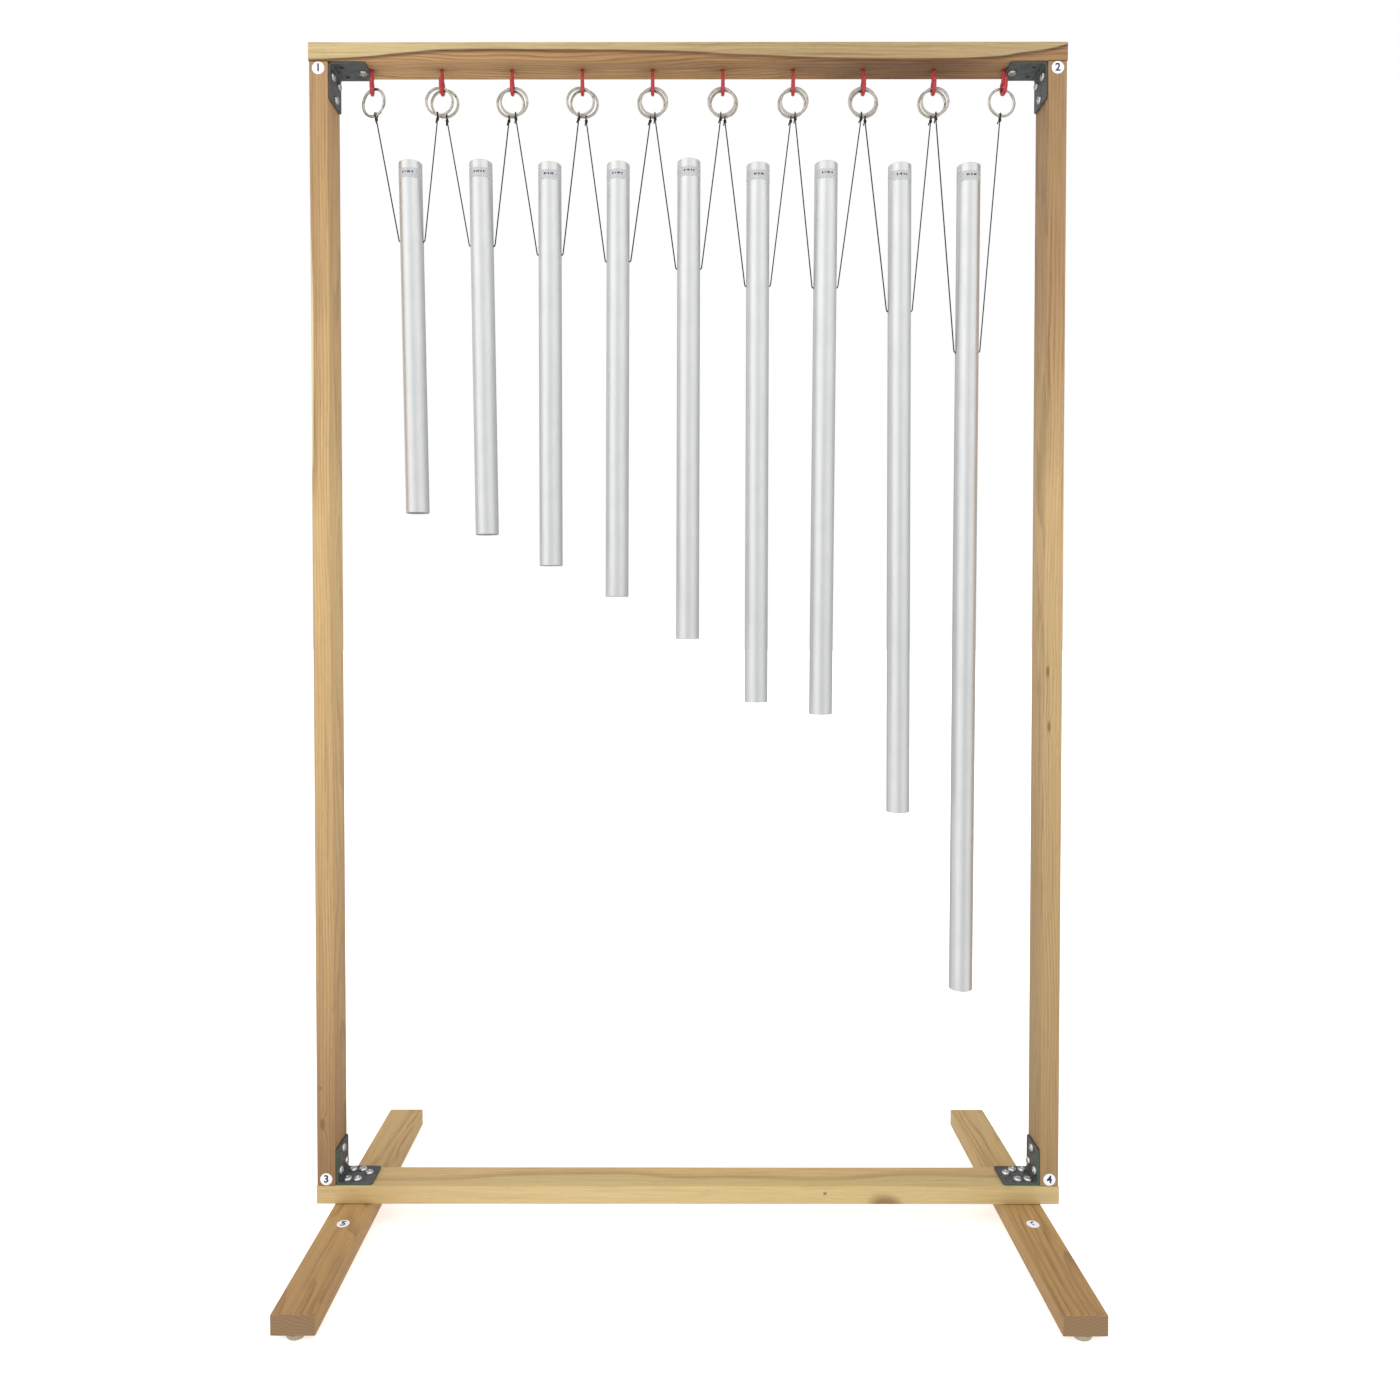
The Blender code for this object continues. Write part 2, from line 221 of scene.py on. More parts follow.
def add_sweep(shape, path, radius_at, sides):
    """A round bar along a path; radius_at gives its radius from the point's index and the angle."""
    loops = []
    for index, (point, (first, second)) in enumerate(zip(path, carried_frames(path))):
        loop = []
        for side in range(sides):
            angle = 2 * math.pi * side / sides
            offset = math.cos(angle) * first + math.sin(angle) * second
            loop.append(point + radius_at(index, angle) * offset)
        loops.append(loop)
    add_loft(shape, loops)


def smooth_curve(points, steps):
    """A Catmull-Rom curve through points, with so many steps between each two."""
    ends = [2 * points[0] - points[1]] + list(points) + [2 * points[-1] - points[-2]]
    curve = []
    for before, start, end, after in zip(ends, ends[1:], ends[2:], ends[3:]):
        for step in range(steps):
            t = step / steps
            curve.append(
                0.5
                * (
                    2 * start
                    + (end - before) * t
                    + (2 * before - 5 * start + 4 * end - after) * t**2
                    + (3 * start - before - 3 * end + after) * t**3
                )
            )
    curve.append(Vector(points[-1]))
    return curve


def path_length(points):
    return sum((b - a).length for a, b in zip(points, points[1:]))


def resampled(points, step):
    """The same polyline with points an even distance apart."""
    count = max(2, round(path_length(points) / step))
    spacing = path_length(points) / count
    result = [points[0]]
    travelled = 0.0
    wanted = spacing
    for start, end in zip(points, points[1:]):
        length = (end - start).length
        while length > 0 and travelled + length >= wanted - 1e-9 and len(result) < count:
            result.append(start.lerp(end, (wanted - travelled) / length))
            wanted += spacing
        travelled += length
    result.append(points[-1])
    return result


def baked(piece):
    """Turns what a piece's modifiers make of it into its own mesh."""
    bpy.context.view_layer.update()
    graph = bpy.context.evaluated_depsgraph_get()
    mesh = bpy.data.meshes.new_from_object(piece.evaluated_get(graph))
    piece.modifiers.clear()
    piece.data = mesh
    return piece


def cut(piece, shape):
    """Cuts a piece by a bmesh and keeps only the result."""
    mesh = bpy.data.meshes.new("cutter")
    bmesh.ops.recalc_face_normals(shape, faces=shape.faces)
    shape.to_mesh(mesh)
    shape.free()
    cutter = bpy.data.objects.new("cutter", mesh)
    bpy.context.scene.collection.objects.link(cutter)
    boolean = piece.modifiers.new("cut", "BOOLEAN")
    boolean.operation = "DIFFERENCE"
    boolean.object = cutter
    baked(piece)
    bpy.data.objects.remove(cutter, do_unlink=True)


# Making materials


def tone(red, green, blue):
    """A colour given on the usual 0 to 255 scale, as the linear values that shaders take."""
    return tuple(((value / 255 + 0.055) / 1.055) ** 2.4 for value in (red, green, blue))


def tones(*stops):
    """Ramp stops given as (position, red, green, blue)."""
    return [(position, tone(*colour)) for position, *colour in stops]


class Tree:
    """Short calls for adding nodes to a node tree."""

    def __init__(self, tree):
        self.nodes = tree.nodes
        self.links = tree.links

    def put(self, socket, value):
        if isinstance(value, bpy.types.NodeSocket):
            self.links.new(value, socket)
        elif isinstance(value, tuple) and len(value) == 3 and len(socket.default_value) == 4:
            socket.default_value = (*value, 1.0)
        else:
            socket.default_value = value

    def math(self, operation, first, second=0.0, third=0.0):
        node = self.nodes.new("ShaderNodeMath")
        node.operation = operation
        for socket, value in zip(node.inputs, (first, second, third)):
            self.put(socket, value)
        return node.outputs[0]

    def times(self, first, second):
        return self.math("MULTIPLY", first, second)

    def scaled(self, value, factor, offset):
        return self.math("MULTIPLY_ADD", value, factor, offset)

    def split(self, vector):
        node = self.nodes.new("ShaderNodeSeparateXYZ")
        self.put(node.inputs[0], vector)
        return node.outputs

    def span(self, value, low, high, new_low=0.0, new_high=1.0):
        """A value's range mapped smoothly to another, and held at its ends."""
        node = self.nodes.new("ShaderNodeMapRange")
        node.interpolation_type = "SMOOTHSTEP"
        for socket, number in zip(node.inputs, (value, low, high, new_low, new_high)):
            self.put(socket, number)
        return node.outputs[0]

    def mix(self, factor, first, second, blend="MIX"):
        node = self.nodes.new("ShaderNodeMix")
        node.data_type = "RGBA"
        node.blend_type = blend
        self.put(node.inputs[0], factor)
        self.put(node.inputs[6], first)
        self.put(node.inputs[7], second)
        return node.outputs[2]

    def ramp(self, factor, stops, interpolation="LINEAR"):
        node = self.nodes.new("ShaderNodeValToRGB")
        node.color_ramp.interpolation = interpolation
        self.put(node.inputs[0], factor)
        elements = node.color_ramp.elements
        while len(elements) < len(stops):
            elements.new(0.5)
        for element, (position, colour) in zip(elements, stops):
            element.position = position
            element.color = (*colour, 1.0)
        return node.outputs[0]

    def curve(self, value, points):
        node = self.nodes.new("ShaderNodeFloatCurve")
        self.put(node.inputs["Value"], value)
        curve = node.mapping.curves[0]
        curve.points[0].location = points[0]
        curve.points[1].location = points[-1]
        for point in points[1:-1]:
            curve.points.new(*point)
        node.mapping.update()
        return node.outputs[0]


class Graph(Tree):
    """One material and its shader."""

    def __init__(self, name, roughness=0.5, metallic=0.0):
        self.material = bpy.data.materials.new(name)
        self.material.use_nodes = True
        super().__init__(self.material.node_tree)
        self.shader = self.nodes["Principled BSDF"]
        self.set("Roughness", roughness)
        self.set("Metallic", metallic)
        place = self.nodes.new("ShaderNodeTexCoord")
        self.position = place.outputs["Object"]
        self.normal = place.outputs["Normal"]

    def set(self, name, value):
        self.put(self.shader.inputs[name], value)

    def mapped(self, scale, offset=(0.0, 0.0, 0.0)):
        """Object coordinates stretched by a scale for each axis."""
        node = self.nodes.new("ShaderNodeMapping")
        self.put(node.inputs["Vector"], self.position)
        self.put(node.inputs["Scale"], scale)
        self.put(node.inputs["Location"], offset)
        return node.outputs[0]

    def noise(self, scale, offset=(0.0, 0.0, 0.0), detail=3.0, roughness=0.5, distortion=0.0):
        """Noise between 0 and 1 with so many features to the metre along each axis."""
        node = self.nodes.new("ShaderNodeTexNoise")
        self.put(node.inputs["Vector"], self.mapped(scale, offset))
        self.put(node.inputs["Scale"], 1.0)
        self.put(node.inputs["Detail"], detail)
        self.put(node.inputs["Roughness"], roughness)
        self.put(node.inputs["Distortion"], distortion)
        return node.outputs["Fac"]

    def bump(self, height, strength, distance):
        node = self.nodes.new("ShaderNodeBump")
        self.put(node.inputs["Height"], height)
        self.put(node.inputs["Strength"], strength)
        self.put(node.inputs["Distance"], distance)
        self.set("Normal", node.outputs[0])


WOOD_DARK = tone(134, 98, 60)
WOOD_LINE = tone(96, 60, 30)
WOOD_KNOT = tone(124, 86, 50)
WOOD_OIL = (0.965, 1.0, 0.94)


def wood(name, length, stops, seed, pith, rings, figure, heart=None, knots=()):
    """Timber with its grain along the piece's own X.

    stops colour it from one end to the other. pith is where the tree's centre lies beside the
    piece, which sets how the growth rings run. heart is an optional (axis, outline, stops, line
    strength, line width): the darker heartwood beyond an outline that wanders along the piece,
    with a dark line on it. knots are (centre, radius, how much longer along the grain).
    """
    graph = Graph(name)
    x, y, z = graph.split(graph.position)
    along = graph.scaled(x, 1.0 / length, 0.5)
    shift = (seed * 3.1, seed * 1.7, seed * 0.9)
    drift = graph.noise((2.2, 14.0, 14.0), shift, detail=2.0)
    sway = graph.noise((7.0, 40.0, 40.0), shift, detail=3.0)
    warp = graph.scaled(drift, 0.030, -0.015)
    warp = graph.math("ADD", warp, graph.scaled(sway, 0.007, -0.0035))
    across = graph.math("ADD", graph.math("SUBTRACT", y, pith[0]), warp)
    height = graph.math("SUBTRACT", graph.math("SUBTRACT", z, pith[1]), warp)
    distance = graph.math(
        "SQRT", graph.math("ADD", graph.math("POWER", across, 2.0), graph.math("POWER", height, 2.0))
    )
    knot_mask = None
    for centre, radius, stretch in knots:
        start = [-place / scale for place, scale in zip(centre, (stretch, 1, 1))]
        node = graph.nodes.new("ShaderNodeVectorMath")
        node.operation = "LENGTH"
        graph.put(node.inputs[0], graph.mapped((1 / stretch, 1.0, 1.0), tuple(start)))
        away = graph.scaled(sway, radius * 0.9, node.outputs["Value"])
        away = graph.math("ADD", away, -radius * 0.45)
        distance = graph.math("ADD", distance, graph.span(away, 0.0, radius * 2.6, radius * 1.1, 0.0))
        mask = graph.span(away, radius * 0.45, radius * 1.15, 1.0, 0.0)
        knot_mask = graph.math("MAXIMUM", knot_mask, mask) if knot_mask else mask
    phase = graph.math("FRACT", graph.math("DIVIDE", distance, rings))
    late = graph.span(phase, 0.35, 0.92)
    late = graph.times(late, graph.span(phase, 0.93, 1.0, 1.0, 0.0))
    patches = graph.noise((5.0, 60.0, 60.0), shift, detail=4.0, roughness=0.6, distortion=0.6)
    fibres = graph.noise((16.0, 900.0, 900.0), shift, detail=5.0, roughness=0.65)
    streaks = graph.noise((5.0, 260.0, 260.0), shift, detail=3.0, roughness=0.55, distortion=0.2)
    pores = graph.noise((70.0, 2600.0, 2600.0), shift, detail=1.0)
    pore_mask = graph.span(pores, 0.64, 0.72)
    place = graph.scaled(patches, 0.16, graph.math("ADD", along, -0.08))
    colour = graph.ramp(place, stops)
    strength = graph.times(late, graph.span(patches, 0.25, 0.75, 0.25 * figure, figure))
    if heart:
        axis, outline, heart_stops, line_strength, line_width = heart
        share = {"y": y, "z": z}[axis]
        size = {"y": 0.040, "z": 0.020}[axis]
        share = graph.scaled(share, 1.0 / size, 0.5)
        edge = graph.math("SUBTRACT", share, graph.curve(along, outline))
        edge = graph.math("ADD", edge, graph.scaled(sway, 0.10, -0.05))
        edge = graph.times(edge, -1.0 if axis == "z" else 1.0)
        inside = graph.span(edge, -0.03, 0.03)
        heart_colour = graph.ramp(place, heart_stops)
        colour = graph.mix(inside, colour, heart_colour)
        line = graph.span(edge, 0.02, line_width, 1.0, 0.0)
        line = graph.times(line, graph.span(edge, -0.08, 0.0))
        line = graph.times(line, graph.span(fibres, 0.25, 0.6, 0.55, 1.0))
        line = graph.times(line, line_strength)
        strength = graph.times(strength, graph.scaled(inside, 0.65, 0.35))
        colour = graph.mix(line, colour, WOOD_LINE)
    colour = graph.mix(strength, colour, WOOD_DARK, "MULTIPLY")
    colour = graph.mix(graph.span(streaks, 0.50, 0.78, 0.0, figure * 0.9), colour, WOOD_DARK, "MULTIPLY")
    colour = graph.mix(graph.span(fibres, 0.35, 0.75, 0.0, 0.22), colour, WOOD_DARK, "MULTIPLY")
    colour = graph.mix(graph.times(pore_mask, 0.30), colour, WOOD_LINE)
    if knot_mask:
        colour = graph.mix(graph.times(knot_mask, 0.82), colour, WOOD_KNOT)
    end = graph.span(graph.math("ABSOLUTE", graph.split(graph.normal)[0]), 0.55, 0.9)
    speckle = graph.noise((1200.0, 1200.0, 1200.0), shift, detail=2.0)
    end_tone = graph.mix(graph.times(late, 0.45), tone(134, 104, 74), tone(104, 75, 47))
    end_tone = graph.mix(graph.span(speckle, 0.4, 0.7, 0.0, 0.3), end_tone, WOOD_DARK)
    colour = graph.mix(graph.times(end, 0.9), colour, end_tone)
    colour = graph.mix(1.0, colour, WOOD_OIL, "MULTIPLY")
    graph.set("Base Color", colour)
    graph.set("Roughness", graph.span(fibres, 0.2, 0.8, 0.46, 0.62))
    relief = graph.scaled(pore_mask, -0.8, fibres)
    relief = graph.scaled(late, 0.35, relief)
    graph.bump(relief, 0.35, 0.00012)
    return graph.material


def satin_aluminium():
    graph = Graph("satin aluminium", 0.3, 1.0)
    drawn = graph.noise((2600.0, 2600.0, 5.0), detail=4.0, roughness=0.6)
    clouds = graph.noise((70.0, 70.0, 26.0), (3.0, 1.0, 2.0), detail=4.0, roughness=0.6)
    marks = graph.noise((900.0, 900.0, 160.0), (7.0, 0.0, 1.0), detail=2.0, distortion=1.4)
    scuffs = graph.span(marks, 0.68, 0.74)
    colour = graph.mix(graph.span(drawn, 0.3, 0.7), tone(226, 228, 227), tone(238, 239, 238))
    colour = graph.mix(graph.span(clouds, 0.35, 0.75, 0.0, 0.35), colour, tone(214, 217, 217))
    colour = graph.mix(graph.times(scuffs, 0.25), colour, tone(200, 203, 204))
    graph.set("Base Color", colour)
    roughness = graph.scaled(clouds, 0.10, 0.34)
    roughness = graph.scaled(drawn, 0.06, roughness)
    graph.set("Roughness", graph.scaled(scuffs, 0.10, roughness))
    graph.bump(drawn, 0.10, 0.00004)
    return graph.material


def nickel():
    graph = Graph("worn nickel", 0.22, 1.0)
    clouds = graph.noise((420.0, 420.0, 420.0), detail=4.0, roughness=0.6)
    rubs = graph.noise((1800.0, 1800.0, 300.0), (2.0, 5.0, 1.0), detail=3.0, distortion=0.8)
    colour = graph.mix(graph.span(clouds, 0.35, 0.7), tone(210, 205, 195), tone(176, 168, 154))
    colour = graph.mix(graph.span(rubs, 0.60, 0.72, 0.0, 0.5), colour, tone(142, 126, 104))
    graph.set("Base Color", colour)
    graph.set("Roughness", graph.span(rubs, 0.3, 0.75, 0.16, 0.38))
    graph.bump(rubs, 0.15, 0.00005)
    return graph.material


def red_coating():
    graph = Graph("red dipped coating", 0.28)
    clouds = graph.noise((300.0, 300.0, 140.0), detail=3.0)
    dimples = graph.noise((2200.0, 2200.0, 1400.0), (1.0, 2.0, 3.0), detail=2.0)
    graph.set("Base Color", graph.mix(graph.span(clouds, 0.3, 0.7), tone(160, 24, 36), tone(184, 42, 50)))
    graph.set("Roughness", graph.span(dimples, 0.3, 0.7, 0.22, 0.36))
    graph.set("Coat Weight", 0.4)
    graph.set("Coat Roughness", 0.15)
    graph.set("Subsurface Weight", 0.12)
    graph.set("Subsurface Radius", (0.002, 0.0006, 0.0004))
    graph.bump(dimples, 0.12, 0.00008)
    return graph.material


def black_steel(name, front_edge):
    """Dark plated steel; front_edge tints the thin edge that faces forward."""
    graph = Graph(name, 0.45, 0.2)
    grain = graph.noise((1500.0, 1500.0, 1500.0), detail=3.0)
    clouds = graph.noise((130.0, 130.0, 130.0), (4.0, 2.0, 0.0), detail=4.0, roughness=0.65)
    rubbed = graph.span(clouds, 0.60, 0.76)
    colour = graph.mix(graph.span(clouds, 0.3, 0.6), tone(60, 63, 62), tone(80, 83, 81))
    colour = graph.mix(graph.times(rubbed, 0.4), colour, tone(112, 114, 111))
    forward = graph.span(graph.split(graph.normal)[1], -0.9, -0.6, 0.5, 0.0)
    graph.set("Base Color", graph.mix(forward, colour, front_edge))
    graph.set("Roughness", graph.scaled(grain, 0.16, 0.34))
    graph.bump(grain, 0.18, 0.00006)
    return graph.material


def zinc():
    graph = Graph("zinc plate", 0.3, 1.0)
    clouds = graph.noise((600.0, 600.0, 600.0), detail=4.0, roughness=0.6)
    colour = graph.mix(graph.span(clouds, 0.3, 0.7), tone(232, 232, 230), tone(204, 205, 206))
    graph.set("Base Color", colour)
    graph.set("Roughness", graph.span(clouds, 0.25, 0.75, 0.20, 0.40))
    graph.bump(clouds, 0.10, 0.00005)
    return graph.material


def clear_rubber():
    graph = Graph("milky rubber", 0.25)
    clouds = graph.noise((500.0, 500.0, 500.0), detail=3.0)
    colour = graph.mix(graph.span(clouds, 0.3, 0.7), tone(184, 172, 148), tone(160, 146, 120))
    graph.set("Base Color", colour)
    graph.set("Transmission Weight", 0.35)
    graph.set("Subsurface Weight", 0.3)
    graph.set("Subsurface Radius", (0.003, 0.003, 0.002))
    graph.bump(clouds, 0.08, 0.00006)
    return graph.material


def braid():
    graph = Graph("black braid", 0.6)
    strands = graph.noise((2400.0, 2400.0, 2400.0), detail=2.0)
    graph.set("Base Color", graph.mix(graph.span(strands, 0.35, 0.7), tone(7, 7, 8), tone(20, 20, 22)))
    graph.set("Roughness", graph.span(strands, 0.3, 0.7, 0.45, 0.75))
    graph.set("Sheen Weight", 0.1)
    graph.bump(strands, 0.3, 0.00006)
    return graph.material


def printed(name, light, dark, roughness):
    """Paper, film or ink: nearly flat, with a slight mottle."""
    graph = Graph(name, roughness)
    mottle = graph.noise((900.0, 900.0, 900.0), detail=3.0)
    graph.set("Base Color", graph.mix(graph.span(mottle, 0.3, 0.7), light, dark))
    graph.bump(mottle, 0.05, 0.00003)
    return graph


# Camera, lights and floor


def build_camera():
    data = bpy.data.cameras.new("camera")
    data.lens = CAMERA_LENS
    data.shift_x, data.shift_y = CAMERA_SHIFT
    camera = bpy.data.objects.new("camera", data)
    camera.location = CAMERA_PLACE
    camera.rotation_euler = (math.radians(90) + CAMERA_PITCH, 0.0, CAMERA_YAW)
    bpy.context.scene.collection.objects.link(camera)
    bpy.context.scene.camera = camera


def build_world():
    """A white studio: brighter at the front left, darker behind at the right."""
    world = bpy.data.worlds.new("studio")
    bpy.context.scene.world = world
    world.use_nodes = True
    tree = Tree(world.node_tree)
    nodes, links = tree.nodes, tree.links
    x, y, z = tree.split(nodes.new("ShaderNodeTexCoord").outputs["Generated"])
    turn = tree.math("ARCTAN2", x, tree.times(y, -1.0))
    share = tree.scaled(turn, 1 / (2 * math.pi), 0.5)
    # Azimuth in degrees from the front, positive to the right, and how bright the studio is there.
    around = ((-180, 0.26), (-145, 0.42), (-105, 0.72), (-68, 0.86), (-42, 0.98), (-22, 0.80), (-6, 0.56),
              (10, 0.54), (38, 0.84), (62, 0.78), (95, 0.58), (130, 0.42), (160, 0.28), (180, 0.26))
    brightest = 1.13
    stops = [(azimuth / 360 + 0.5, (level, level, level)) for azimuth, level in around]
    ramp = tree.ramp(share, stops, "B_SPLINE")
    # Softer light also comes from above.
    overhead = nodes.new("ShaderNodeMapRange")
    links.new(z, overhead.inputs["Value"])
    overhead.inputs["To Min"].default_value = brightest
    overhead.inputs["To Max"].default_value = brightest * 1.75
    lighting = nodes["Background"]
    links.new(ramp, lighting.inputs["Color"])
    links.new(overhead.outputs[0], lighting.inputs["Strength"])
    backdrop = nodes.new("ShaderNodeBackground")
    backdrop.inputs["Color"].default_value = (1.0, 1.0, 1.0, 1.0)
    path = nodes.new("ShaderNodeLightPath")
    choice = nodes.new("ShaderNodeMixShader")
    links.new(path.outputs["Is Camera Ray"], choice.inputs[0])
    links.new(lighting.outputs[0], choice.inputs[1])
    links.new(backdrop.outputs[0], choice.inputs[2])
    links.new(choice.outputs[0], nodes["World Output"].inputs["Surface"])


def build_light(name, place, target, size, power):
    data = bpy.data.lights.new(name, "AREA")
    data.shape = "RECTANGLE"
    data.size, data.size_y = size
    data.energy = power
    light = bpy.data.objects.new(name, data)
    light.location = place
    light.rotation_euler = (Vector(place) - Vector(target)).to_track_quat("Z", "Y").to_euler()
    light.visible_glossy = False
    bpy.context.scene.collection.objects.link(light)


def build_floor():
    graph = Graph("pale floor", 0.9)
    mottle = graph.noise((3.0, 3.0, 3.0), detail=2.0)
    graph.set("Base Color", graph.mix(mottle, (0.84, 0.84, 0.84), (0.86, 0.86, 0.86)))
    graph.set("Emission Color", (1.0, 1.0, 1.0))
    graph.set("Emission Strength", 0.55)
    shape = bmesh.new()
    bmesh.ops.create_grid(shape, x_segments=1, y_segments=1, size=20.0)
    floor = to_piece("floor", shape, graph.material)
    floor.visible_glossy = False


def build_studio():
    build_camera()
    build_world()
    build_floor()
    build_light("key", (-1.5, -2.6, 2.1), (0, 0, 0.7), (1.6, 1.6), 8.0)
    build_light("fill", (2.2, -2.0, 1.2), (0, 0, 0.6), (1.6, 2.0), 3.0)
    bpy.context.scene.view_settings.view_transform = "Standard"


# Cords and knots


def hook_x(index):
    return (index - (len(HOOK_YAWS) - 1) / 2) * HOOK_PITCH


def joint_point(name):
    """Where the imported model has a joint's axis."""
    for joint in frame["joints"]:
        if joint["name"] == name:
            return Vector(joint["pos_m"])
    raise KeyError(name)


def ring_frame(tube, side):
    """Centre and in-plane direction of the ring that holds one side of a tube."""
    word = "left" if side < 0 else "right"
    low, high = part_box(f"ring_{tube + 1}_{word}")
    hook = tube if side < 0 else tube + 1
    end_yaw = {0: FIRST_RING_YAW, len(HOOK_YAWS) - 1: LAST_RING_YAW}
    yaw = math.radians(end_yaw.get(hook, HOOK_YAWS[hook]))
    return (low + high) / 2, Vector((math.cos(yaw), math.sin(yaw), 0))


def knot_point(tube, side):
    """Centre of the ring's wire where the cord is tied round it."""
    centre, across = ring_frame(tube, side)
    hook = tube if side < 0 else tube + 1
    offset = FIRST_KNOT_OFFSET if hook == 0 else KNOT_OFFSET * HOOK_SPREADS[hook]
    fall = math.sqrt(RING_RADIUS**2 - offset**2)
    return centre - side * offset * across - Vector((0, 0, fall))


def loop_point(knot, across, angle):
    outward = UP.cross(across)
    return knot + CORD_LOOP_RADIUS * (math.cos(angle) * outward + math.sin(angle) * UP)


def half_cord(tube, side):
    """From the loop round a ring, down to the tube and into its cross hole."""
    knot = knot_point(tube, side)
    across = ring_frame(tube, side)[1]
    loop_steps = 28
    loop = []
    for step in range(loop_steps + 1):
        loop.append(loop_point(knot, across, -math.pi / 2 + LOOP_SWEEP * (1 - step / loop_steps)))
    pivot = joint_point(f"tube_swing_{tube + 1}")
    start = pivot + Vector((side * (TUBE_RADIUS - TUBE_WALL / 2), 0, 0))
    centre = start + Vector((0, 0, CORD_BEND_RADIUS))
    away = loop[-1] - centre
    tilt = math.atan2(side * away.x, away.z)
    turn = math.pi / 2 - tilt + math.asin(CORD_BEND_RADIUS / math.hypot(away.x, away.z))
    bend = []
    for step in range(CORD_BEND_STEPS + 1):
        angle = turn * step / CORD_BEND_STEPS
        bend.append(centre + CORD_BEND_RADIUS * Vector((side * math.sin(angle), 0, -math.cos(angle))))
    return loop + bend[::-1]


def braided(index, angle):
    """Radius of a plaited cord: strands that cross each other on two opposite helices."""
    travel = index * CORD_STEP / BRAID_LAY * 2 * math.pi
    weave = math.cos(2 * angle + travel) * math.cos(2 * angle - travel)
    return CORD_RADIUS * (BRAID_SWELL + BRAID_WEAVE * weave)


def build_knot(name, tube, side, material):
    """The cord's end goes on round the loop, wraps the standing part and ends in a short tail."""
    half = half_cord(tube, side)
    knot = knot_point(tube, side)
    across = ring_frame(tube, side)[1]
    bottom = loop_point(knot, across, -math.pi / 2)
    down = (half[-CORD_BEND_STEPS - 1] - bottom).normalized()
    first = (across - across.dot(down) * down).normalized()
    second = down.cross(first)
    start_angle = LOOP_SWEEP - math.pi / 2
    route = [loop_point(knot, across, start_angle + math.radians(turn)) for turn in (-8, 12, 32)]
    wrap_steps = 26
    wrap_radius = CORD_RADIUS * 1.75
    wrap_pitch = CORD_RADIUS * 1.9
    for step in range(wrap_steps + 1):
        angle = math.pi * 1.5 + 2 * math.pi * KNOT_WRAPS * step / wrap_steps
        fall = wrap_pitch * KNOT_WRAPS * step / wrap_steps
        ring = math.cos(angle) * first + math.sin(angle) * second
        route.append(bottom + wrap_radius * ring + down * (fall + CORD_RADIUS * 0.4))
    away = (route[-1] - route[-2]).normalized()
    for outward, fall in KNOT_TAIL:
        route.append(route[-1] + away * outward + down * fall)
    path = resampled(smooth_curve(route, 4), CORD_STEP)
    shape = bmesh.new()
    add_sweep(shape, path, braided, 10)
    return to_piece(name, shape, material, 60.0)


def build_cords():
    material = braid()
    for tube in range(TUBE_COUNT):
        number = tube + 1
        body = f"sling_{number}"
        route = half_cord(tube, -1) + half_cord(tube, 1)[::-1]
        path = resampled(route, CORD_STEP)
        shape = bmesh.new()
        add_sweep(shape, path, braided, 10)
        cord = to_piece(f"braid_{number}", shape, material, 60.0)
        own(cord, body, "black_braid", f"cord_{number}")
        for side, word in SIDES:
            knot = build_knot(f"knot_{number}_{word}", tube, side, material)
            own(knot, body, "black_braid")


# Timber


def build_timber(name, node, along, material):
    """A batten with rounded edges whose own X runs along the grain."""
    low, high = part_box(node)
    size = high - low
    turn = {"X": Matrix(), "Y": Matrix.Rotation(math.radians(90), 4, "Z")}
    turn["Z"] = Matrix.Rotation(math.radians(-90), 4, "Y")
    place = Matrix.Translation((low + high) / 2) @ turn[along]
    local = [abs(value) for value in turn[along].to_3x3().inverted() @ size]
    shape = bmesh.new()
    bmesh.ops.create_cube(shape, size=1.0, matrix=Matrix.Diagonal((*local, 1.0)))
    bmesh.ops.bevel(
        shape, geom=list(shape.edges), offset=EDGE_ROUND, segments=3, profile=0.5, affect="EDGES"
    )
    piece = to_piece(name, shape, material, 40.0)
    piece.matrix_world = place
    return piece


